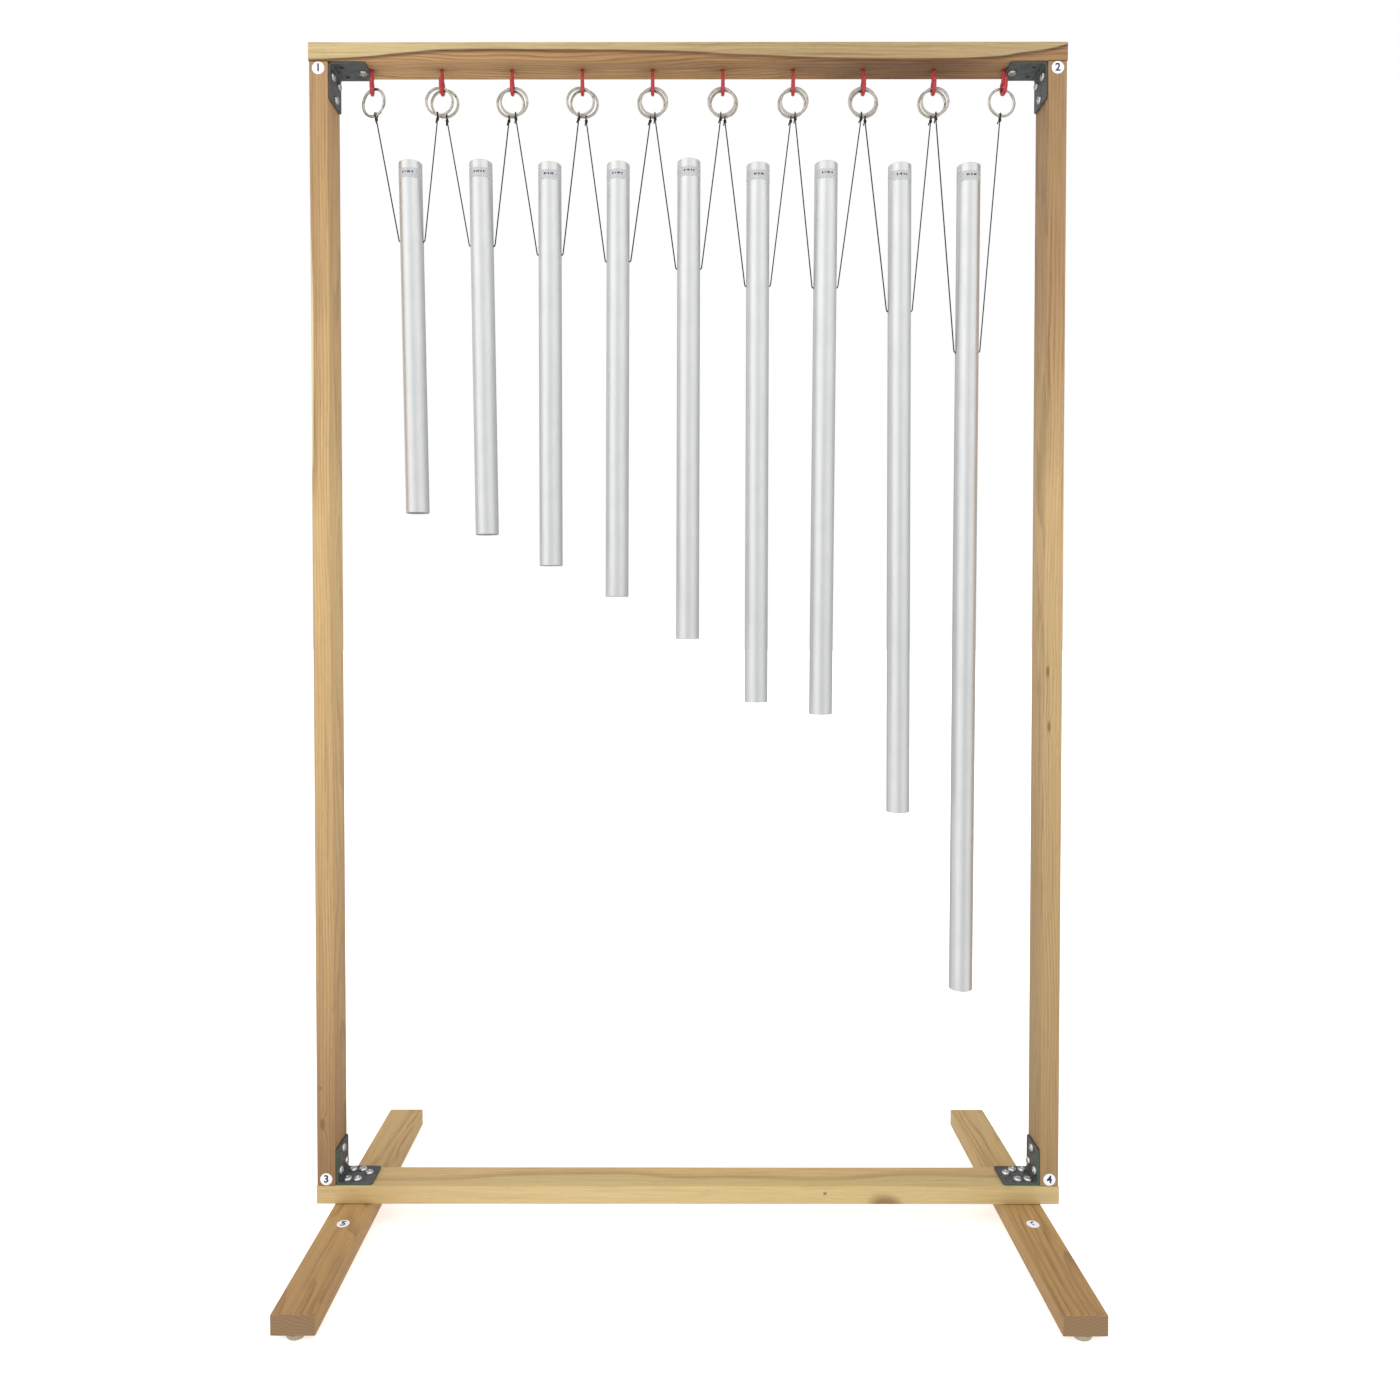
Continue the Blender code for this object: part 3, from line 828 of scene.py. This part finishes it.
def build_frame():
    rail_length = 0.812
    post_length = 1.216
    foot_length = 0.400
    top_wood = wood(
        "top rail timber", rail_length,
        tones((0.0, 202, 177, 130), (0.7, 172, 144, 103), (1.0, 180, 154, 114)),
        seed=1.0, pith=(0.030, -0.050), rings=0.0034, figure=0.55,
        heart=(
            "z",
            ((0.0, 0.05), (0.06, 0.15), (0.13, 0.40), (0.21, 0.58), (0.33, 0.56), (0.45, 0.52), (0.58, 0.30),
             (0.71, 0.10), (0.85, 0.08), (0.94, 0.38), (1.0, 0.85)),
            tones((0.0, 190, 147, 99), (0.5, 159, 118, 74), (1.0, 160, 120, 80)),
            1.0, 0.24,
        ),
    )
    bottom_wood = wood(
        "bottom rail timber", rail_length,
        tones((0.0, 204, 172, 123), (0.35, 206, 178, 128), (0.7, 199, 172, 120),
         (1.0, 202, 174, 125)),
        seed=2.3, pith=(0.070, -0.040), rings=0.0046, figure=0.20,
        heart=(
            "y",
            ((0.0, 0.30), (0.17, 0.34), (0.27, 0.59), (0.40, 0.66), (0.50, 0.43), (0.56, 0.45), (0.69, 0.34),
             (0.82, 0.59), (0.88, 0.52), (1.0, 0.45)),
            tones((0.0, 218, 183, 130), (0.5, 216, 179, 124), (1.0, 212, 176, 126)),
            0.30, 0.30,
        ),
        knots=(((0.216, -0.0205, -0.0105), 0.0135, 1.7), ((0.150, -0.0202, 0.0020), 0.0019, 1.2)),
    )
    left_wood = wood(
        "left post timber", post_length, tones((0.0, 224, 204, 166), (1.0, 224, 204, 166)),
        seed=3.7, pith=(0.012, 0.060), rings=0.0030, figure=0.34,
        heart=(
            "z",
            ((0.0, 1.3), (0.58, 1.25), (0.66, 0.90), (0.72, 0.86), (0.80, 0.86), (0.86, 0.95), (0.92, 1.05),
             (1.0, 1.05)),
            tones((0.0, 150, 112, 76), (0.2, 186, 148, 102), (0.6, 208, 173, 123),
             (1.0, 180, 140, 96)),
            0.30, 0.50,
        ),
        knots=(((-0.540, -0.0205, 0.0035), 0.0034, 2.2), ((-0.500, -0.020, 0.006), 0.0014, 1.8)),
    )
    right_wood = wood(
        "right post timber", post_length,
        tones((0.0, 164, 132, 90), (0.6, 196, 163, 118), (0.8, 168, 132, 92),
         (1.0, 158, 122, 82)),
        seed=5.2, pith=(-0.020, 0.045), rings=0.0036, figure=0.34,
        knots=(((-0.105, -0.0205, 0.004), 0.0028, 3.0), ((-0.045, -0.020, 0.006), 0.0020, 3.5)),
    )
    foot_wood = wood(
        "foot timber", foot_length,
        tones((0.0, 172, 132, 86), (0.35, 184, 144, 95), (0.55, 194, 156, 106),
         (1.0, 204, 168, 118)),
        seed=6.9, pith=(0.015, -0.070), rings=0.0032, figure=0.42,
    )
    other_foot_wood = wood(
        "other foot timber", foot_length,
        tones((0.0, 170, 131, 84), (0.35, 182, 143, 93), (0.55, 192, 155, 105),
         (1.0, 204, 170, 120)),
        seed=8.4, pith=(-0.022, -0.060), rings=0.0029, figure=0.42,
    )
    timbers = (
        ("head_timber", "top_rail", "X", top_wood, "pale_timber"),
        ("sill_timber", "bottom_rail", "X", bottom_wood, "pale_timber"),
        ("left_upright", "left_post", "Z", left_wood, "warm_timber"),
        ("right_upright", "right_post", "Z", right_wood, "warm_timber"),
        ("left_cross_foot", "left_foot", "Y", foot_wood, "brown_timber"),
        ("right_cross_foot", "right_foot", "Y", other_foot_wood, "brown_timber"),
    )
    made = {}
    for name, node, along, material, slot in timbers:
        made[node] = own(build_timber(name, node, along, material), "stand", slot, node)
    rail = made["top_rail"]
    low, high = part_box("top_rail")
    pilots = bmesh.new()
    for index in range(len(HOOK_YAWS)):
        mouth = Matrix.Translation((hook_x(index), 0, low.z))
        add_capped(
            pilots,
            ((PILOT_RADIUS * 1.25, -0.001), (PILOT_RADIUS * 1.25, 0.0001), (PILOT_RADIUS, 0.0007),
             (PILOT_RADIUS, PILOT_DEPTH)),
            24,
            mouth,
        )
    cut(rail, pilots)


def build_bumpers():
    material = clear_rubber()
    for end in ("front", "back"):
        for _, side in SIDES:
            node = f"bumper_{end}_{side}"
            low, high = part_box(node)
            outer = (high.x - low.x) / 2
            height = high.z - low.z
            profile = [(0.0004, 0.0), (outer * BUMPER_FLAT, 0.0)]
            steps = 10
            for step in range(1, steps + 1):
                angle = math.pi / 2 * step / steps
                bulge = BUMPER_FLAT + (1 - BUMPER_FLAT) * math.sin(angle)
                profile.append((outer * bulge, height * 0.85 * (1 - math.cos(angle))))
            profile += [(outer * 0.99, height * 0.95), (outer * 0.96, height), (0.0004, height)]
            shape = bmesh.new()
            foot = Matrix.Translation(((low.x + high.x) / 2, (low.y + high.y) / 2, low.z))
            add_capped(shape, profile, 40, foot)
            piece = to_piece(f"rubber_stop_{end}_{side}", shape, material)
            own(piece, "stand", "clear_rubber", node)


# Brackets and screws


def bracket_loops(arm, width):
    """Rounded cross sections along an L with its corner at the origin and arms along X and Z."""
    middle = BRACKET_THICKNESS / 2
    bend = BRACKET_BEND
    stations = []
    corner_steps = 7
    for step in range(corner_steps + 1):
        inset = BRACKET_CORNER * (1 - math.cos(math.pi / 2 * step / corner_steps))
        stations.append((inset, Vector((middle, 0, arm - inset)), Vector((1, 0, 0))))
    bend_steps = 8
    for step in range(bend_steps + 1):
        angle = math.pi / 2 * step / bend_steps
        inward = Vector((math.cos(angle), 0, math.sin(angle)))
        centre = Vector((middle + bend, 0, middle + bend))
        stations.append((BRACKET_CORNER, centre - bend * inward, inward))
    for step in range(corner_steps + 1):
        inset = BRACKET_CORNER * (1 - math.sin(math.pi / 2 * step / corner_steps))
        stations.append((inset, Vector((arm - inset, 0, middle)), Vector((0, 0, 1))))
    ease = 0.00025
    loops = []
    for inset, centre, inward in stations:
        depth = math.sqrt(max(0.0, BRACKET_CORNER**2 - (BRACKET_CORNER - inset) ** 2))
        half = width / 2 - BRACKET_CORNER + depth
        half_thick = BRACKET_THICKNESS / 2
        corners = (
            (-half, -half_thick + ease), (-half + ease, -half_thick), (half - ease, -half_thick),
            (half, -half_thick + ease), (half, half_thick - ease), (half - ease, half_thick),
            (-half + ease, half_thick), (-half, half_thick - ease),
        )
        loops.append([centre + Vector((0, y, 0)) + inward * t for y, t in corners])
    return loops


def screw_shape():
    """A pan head screw with its seat at the origin and its head towards +Z."""
    head, height, core = SCREW_HEAD_RADIUS, SCREW_HEAD_HEIGHT, SCREW_CORE_RADIUS
    profile = [(0.0002, -SCREW_LENGTH), (core * 0.5, -SCREW_LENGTH * 0.88), (core, -SCREW_LENGTH * 0.7)]
    profile += [(core, 0.0), (head * 0.97, 0.0)]
    steps = 9
    for step in range(steps + 1):
        angle = math.pi / 2 * step / steps
        profile.append((head * (0.52 + 0.48 * math.cos(angle)), height * (0.18 + 0.82 * math.sin(angle))))
    profile.append((head * 0.3, height * 1.01))
    shape = bmesh.new()
    add_capped(shape, profile, 32)
    return shape


def cross_recess():
    """A tapered cross that narrows as it goes down."""
    top = SCREW_HEAD_HEIGHT * 1.2
    floor = SCREW_HEAD_HEIGHT * 0.15
    arm, slim = SCREW_HEAD_RADIUS * 0.56, SCREW_HEAD_RADIUS * 0.13
    loops = []
    for height, reach in ((floor, 0.35), (SCREW_HEAD_HEIGHT * 0.95, 1.0), (top, 1.05)):
        a, s = arm * reach, slim * (0.7 + 0.3 * reach)
        cross = (
            (a, s), (s, s), (s, a), (-s, a), (-s, s), (-a, s),
            (-a, -s), (-s, -s), (-s, -a), (s, -a), (s, -s), (a, -s),
        )
        loops.append([Vector((x, y, height)) for x, y in cross])
    shape = bmesh.new()
    add_loft(shape, loops)
    return shape


def build_brackets():
    steels = {
        -1: black_steel("black steel", tone(44, 104, 72)),
        1: black_steel("dark steel", tone(64, 66, 66)),
    }
    plate = zinc()
    master = to_piece("screw_master", screw_shape(), plate, 30.0)
    cut(master, cross_recess())
    seat = BRACKET_THICKNESS
    count = 0
    for side, side_word in SIDES:
        for level, level_word in ((-1, "bottom"), (1, "top")):
            node = f"bracket_{level_word}_{side_word}"
            low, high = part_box(node)
            corner = Vector((high.x if side > 0 else low.x, 0, high.z if level > 0 else low.z))
            place = Matrix.Translation(corner) @ Matrix.Diagonal((-side, 1, -level, 1))
            shape = bmesh.new()
            add_loft(shape, bracket_loops(high.x - low.x, high.y - low.y))
            bmesh.ops.transform(shape, matrix=place, verts=shape.verts)
            bracket = to_piece(f"angle_{level_word}_{side_word}", shape, steels[level], 30.0)
            crowded = level < 0
            flat = CROWDED_ARM_HOLES if crowded else NEAR_HOLES + (END_HOLE,)
            turn = Matrix.Rotation(math.radians(90), 4, "Y")
            holes = [Matrix.Translation((x, y, 0)) for x, y in flat]
            upright = [Matrix.Translation((0, y, z)) @ turn for z, y in NEAR_HOLES + (END_HOLE,)]
            cutter = bmesh.new()
            for hole in holes + upright:
                depth = (-0.002, BRACKET_THICKNESS + 0.002)
                profile = [(BRACKET_HOLE_RADIUS, height) for height in depth]
                add_capped(cutter, profile, 24, place @ hole)
            cut(bracket, cutter)
            own(bracket, "stand", "black_steel", node)
            filled = holes if crowded else holes[2:]
            for hole in filled + upright:
                count += 1
                spin = Matrix.Rotation(math.radians(37 * count), 4, "Z")
                screw = master.copy()
                screw.name = f"screw_{level_word}_{side_word}_{count:02d}"
                bpy.context.scene.collection.objects.link(screw)
                world = place @ hole @ Matrix.Translation((0, 0, seat))
                outward = world.to_3x3() @ UP
                turned = outward.to_track_quat("Z", "X").to_matrix().to_4x4()
                screw.matrix_world = Matrix.Translation(world.translation) @ turned @ spin
                own(screw, "stand", "nickel")
    bpy.data.objects.remove(master, do_unlink=True)


# Hooks and rings


def hook_profile():
    """Side view of a hook as (y, z below the rail, radius factor), from screw tip to lip tip."""
    bend = HOOK_BEND_RADIUS
    centre_z = -(HOOK_DROP - HOOK_WIRE_RADIUS - bend)
    core = HOOK_CORE_RADIUS / HOOK_WIRE_RADIUS
    points = [(0, PILOT_DEPTH - 0.002, core), (0, 0.003, core), (0, 0.0006, core), (0, -0.0004, 0.80)]
    points.append((0, -0.0025, 0.86))
    arc_steps = 9
    angles = [math.radians(HOOK_ARC_START + HOOK_ARC * step / arc_steps) for step in range(arc_steps + 1)]
    arc = [(math.cos(angle), math.sin(angle), 1.0) for angle in angles]
    points += [(bend * y, centre_z + bend * z, factor) for y, z, factor in (*HOOK_KINK, *arc)]
    points += [(bend * y, centre_z + z, factor) for y, z, factor in HOOK_LIP]
    return points


def build_hooks():
    material = red_coating()
    low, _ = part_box("top_rail")
    steps = 5
    route = smooth_curve([Vector((0, y, z)) for y, z, _ in hook_profile()], steps)
    sizes = smooth_curve([Vector((factor, 0, 0)) for _, _, factor in hook_profile()], steps)
    for index, yaw in enumerate(HOOK_YAWS):
        shape = bmesh.new()
        add_sweep(shape, route, lambda at, angle: HOOK_WIRE_RADIUS * min(1.0, sizes[at].x), 20)
        hook = to_piece(f"screw_hook_{index + 1:02d}", shape, material, 50.0)
        turn = Matrix.Rotation(math.radians(yaw), 4, "Z")
        hook.matrix_world = Matrix.Translation((hook_x(index), 0, low.z)) @ turn
        own(hook, "stand", "red_coating", f"hook_{index + 1:02d}")


def split_ring_shape(start):
    """Two turns of flat spring wire, lying face to face, that step across each other near the ends."""
    steps = 150
    free = math.radians(9)
    step_half = math.radians(20)
    offset = (RING_BAND_THICKNESS + RING_TURN_GAP) / 2
    corners = []
    for turn in range(14):
        angle = 2 * math.pi * (turn + 0.5) / 14
        corners.append((RING_BAND_WIDTH / 2 * math.cos(angle), RING_BAND_THICKNESS / 2 * math.sin(angle)))
    loops = []
    for step in range(steps + 1):
        angle = free + (4 * math.pi - 2 * free) * step / steps
        share = min(1.0, max(0.0, (angle - (2 * math.pi - step_half)) / (2 * step_half)))
        side = (1 - math.cos(math.pi * share)) - 1
        radial = Vector((math.cos(start + angle), 0, math.sin(start + angle)))
        centre = RING_RADIUS * radial + Vector((0, side * offset, 0))
        loops.append([centre + radial * r + Vector((0, t, 0)) for r, t in corners])
    shape = bmesh.new()
    add_loft(shape, loops)
    return shape


def build_rings():
    material = nickel()
    for tube in range(TUBE_COUNT):
        for side, word in SIDES:
            centre, across = ring_frame(tube, side)
            start = math.radians(100 + 67 * tube + 140 * side)
            piece = to_piece(f"split_ring_{tube + 1}_{word}", split_ring_shape(start), material, 30.0)
            turn = Matrix.Rotation(math.atan2(across.y, across.x), 4, "Z")
            piece.matrix_world = Matrix.Translation(centre) @ turn
            own(piece, "stand", "nickel", f"ring_{tube + 1}_{word}")


# Tubes


def tube_frame(tube):
    """A tube's placement at its cord, and how far it reaches above and below that point."""
    low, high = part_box(f"chime_tube_{tube + 1}")
    lean = math.radians(TUBE_LEANS[tube])
    length = (high.z - low.z - 2 * TUBE_RADIUS * abs(math.sin(lean))) / math.cos(lean)
    pivot = joint_point(f"tube_swing_{tube + 1}")
    above = (high.z - pivot.z - TUBE_RADIUS * abs(math.sin(lean))) / math.cos(lean)
    place = Matrix.Translation(pivot) @ Matrix.Rotation(-lean, 4, "Y")
    return place, above, above - length


def tube_shape(top, bottom):
    inner = TUBE_RADIUS - TUBE_WALL
    ease = 0.0004
    profile = (
        (TUBE_RADIUS - ease, top), (TUBE_RADIUS, top - ease), (TUBE_RADIUS, bottom + ease),
        (TUBE_RADIUS - ease, bottom), (inner + ease, bottom), (inner, bottom + ease), (inner, top - ease),
        (inner + ease, top),
    )
    shape = bmesh.new()
    add_turned(shape, profile, TUBE_SIDES)
    return shape


def add_arc_patch(shape, radii, angles, heights, steps):
    """A small curved block lying on a tube; angle 0 is the front."""
    loops = []
    for step in range(steps + 1):
        angle = angles[0] + (angles[1] - angles[0]) * step / steps
        out = Vector((math.sin(angle), -math.cos(angle), 0))
        loops.append([
            out * radii[0] + UP * heights[0], out * radii[1] + UP * heights[0],
            out * radii[1] + UP * heights[1], out * radii[0] + UP * heights[1],
        ])
    add_loft(shape, loops)


def build_tubes():
    metal = satin_aluminium()
    film_graph = printed("grey film", tone(208, 209, 211), tone(194, 196, 199), 0.4)
    film_graph.set("Alpha", 0.55)
    ink = printed("grey ink", tone(70, 74, 92), tone(52, 56, 74), 0.5).material
    for tube in range(TUBE_COUNT):
        number = tube + 1
        place, top, bottom = tube_frame(tube)
        body = f"chime_{number}"
        pipe = to_piece(f"bar_tube_{number}", tube_shape(top, bottom), metal, 30.0)
        cutter = bmesh.new()
        across = Matrix.Rotation(math.radians(90), 4, "Y")
        drop = CROSS_HOLE_RADIUS * math.cos(math.pi / 8) - CORD_RADIUS - CROSS_HOLE_SLACK
        hole = Matrix.Translation((0, 0, -drop)) @ across
        bore = [(CROSS_HOLE_RADIUS, reach * TUBE_RADIUS) for reach in (-2, 2)]
        add_capped(cutter, bore, 16, hole)
        cut(pipe, cutter)
        film_top = top - FILM_DROP
        shape = bmesh.new()
        under, over = TUBE_RADIUS - FILM_LIFT, TUBE_RADIUS + FILM_LIFT
        film_foot = film_top - FILM_HEIGHT
        skin = ((under, film_foot), (over, film_foot), (over, film_top), (under, film_top))
        add_turned(shape, skin, TUBE_SIDES)
        film = to_piece(f"film_{number}", shape, film_graph.material, 30.0)
        marks = bmesh.new()
        radii = (TUBE_RADIUS, TUBE_RADIUS + DASH_LIFT)
        middle = film_top - FILM_HEIGHT * 0.42
        for index, tall in enumerate(DASH_HEIGHTS):
            shift = DASH_SHIFT * ((tube + index) % 3 - 1)
            start = ((index - 2) * DASH_PITCH - DASH_WIDTH / 2 + shift) / TUBE_RADIUS
            angles = (start, start + DASH_WIDTH / TUBE_RADIUS)
            add_arc_patch(marks, radii, angles, (middle - tall / 2, middle + tall / 2), 3)
        dashes = to_piece(f"film_marks_{number}", marks, ink, 30.0)
        for piece in (pipe, film, dashes):
            piece.matrix_world = place
        own(pipe, body, "satin_aluminium", f"chime_tube_{number}")
        own(film, body, "clear_rubber")
        own(dashes, body, "black_braid")


# Stickers


def build_sticker(number, place, paper, ink):
    shape = bmesh.new()
    thick = STICKER_THICKNESS
    profile = ((STICKER_RADIUS, 0.0), (STICKER_RADIUS, thick * 0.7), (STICKER_RADIUS - thick, thick))
    add_capped(shape, profile, 48)
    disc = to_piece(f"sticker_{number}", shape, paper, 30.0)
    disc.matrix_world = place
    curve = bpy.data.curves.new("numeral", "FONT")
    curve.body = str(number)
    curve.size = NUMERAL_SIZE
    curve.align_x = "CENTER"
    curve.align_y = "CENTER"
    curve.extrude = 0.00003
    curve.offset = 0.00032
    drawn = bpy.data.objects.new("numeral", curve)
    bpy.context.scene.collection.objects.link(drawn)
    bpy.context.view_layer.update()
    flat = bpy.data.meshes.new_from_object(drawn.evaluated_get(bpy.context.evaluated_depsgraph_get()))
    bpy.data.objects.remove(drawn, do_unlink=True)
    digits = bmesh.new()
    digits.from_mesh(flat)
    bmesh.ops.remove_doubles(digits, verts=digits.verts, dist=1e-6)
    numeral = to_piece(f"numeral_{number}", digits, ink, 30.0)
    numeral.matrix_world = place @ Matrix.Translation((0, 0, thick + 0.00002))
    own(disc, "stand", "clear_rubber")
    own(numeral, "stand", "black_braid")


def build_stickers():
    paper = printed("white paper", tone(238, 240, 242), tone(226, 229, 233), 0.6).material
    ink = printed("blue ink", tone(28, 44, 92), tone(20, 34, 78), 0.5).material
    rail_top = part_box("bottom_rail")[1].z
    head_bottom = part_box("top_rail")[0].z
    for index, (_, word) in enumerate(SIDES):
        low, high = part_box(f"{word}_post")
        foot_low, foot_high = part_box(f"{word}_foot")
        facing = Matrix.Rotation(math.radians(90), 4, "X")
        middle = (low.x + high.x) / 2
        upper = Matrix.Translation((middle, low.y, head_bottom - POST_STICKER_SETBACK)) @ facing
        lower = Matrix.Translation((middle, low.y, rail_top + POST_STICKER_SETBACK)) @ facing
        foot = Matrix.Translation(((foot_low.x + foot_high.x) / 2, FOOT_STICKER_Y, foot_high.z))
        build_sticker(1 + index, upper, paper, ink)
        build_sticker(3 + index, lower, paper, ink)
        build_sticker(5 + index, foot, paper, ink)


build_studio()
build_cords()
build_frame()
build_bumpers()
build_brackets()
build_hooks()
build_rings()
build_tubes()
build_stickers()
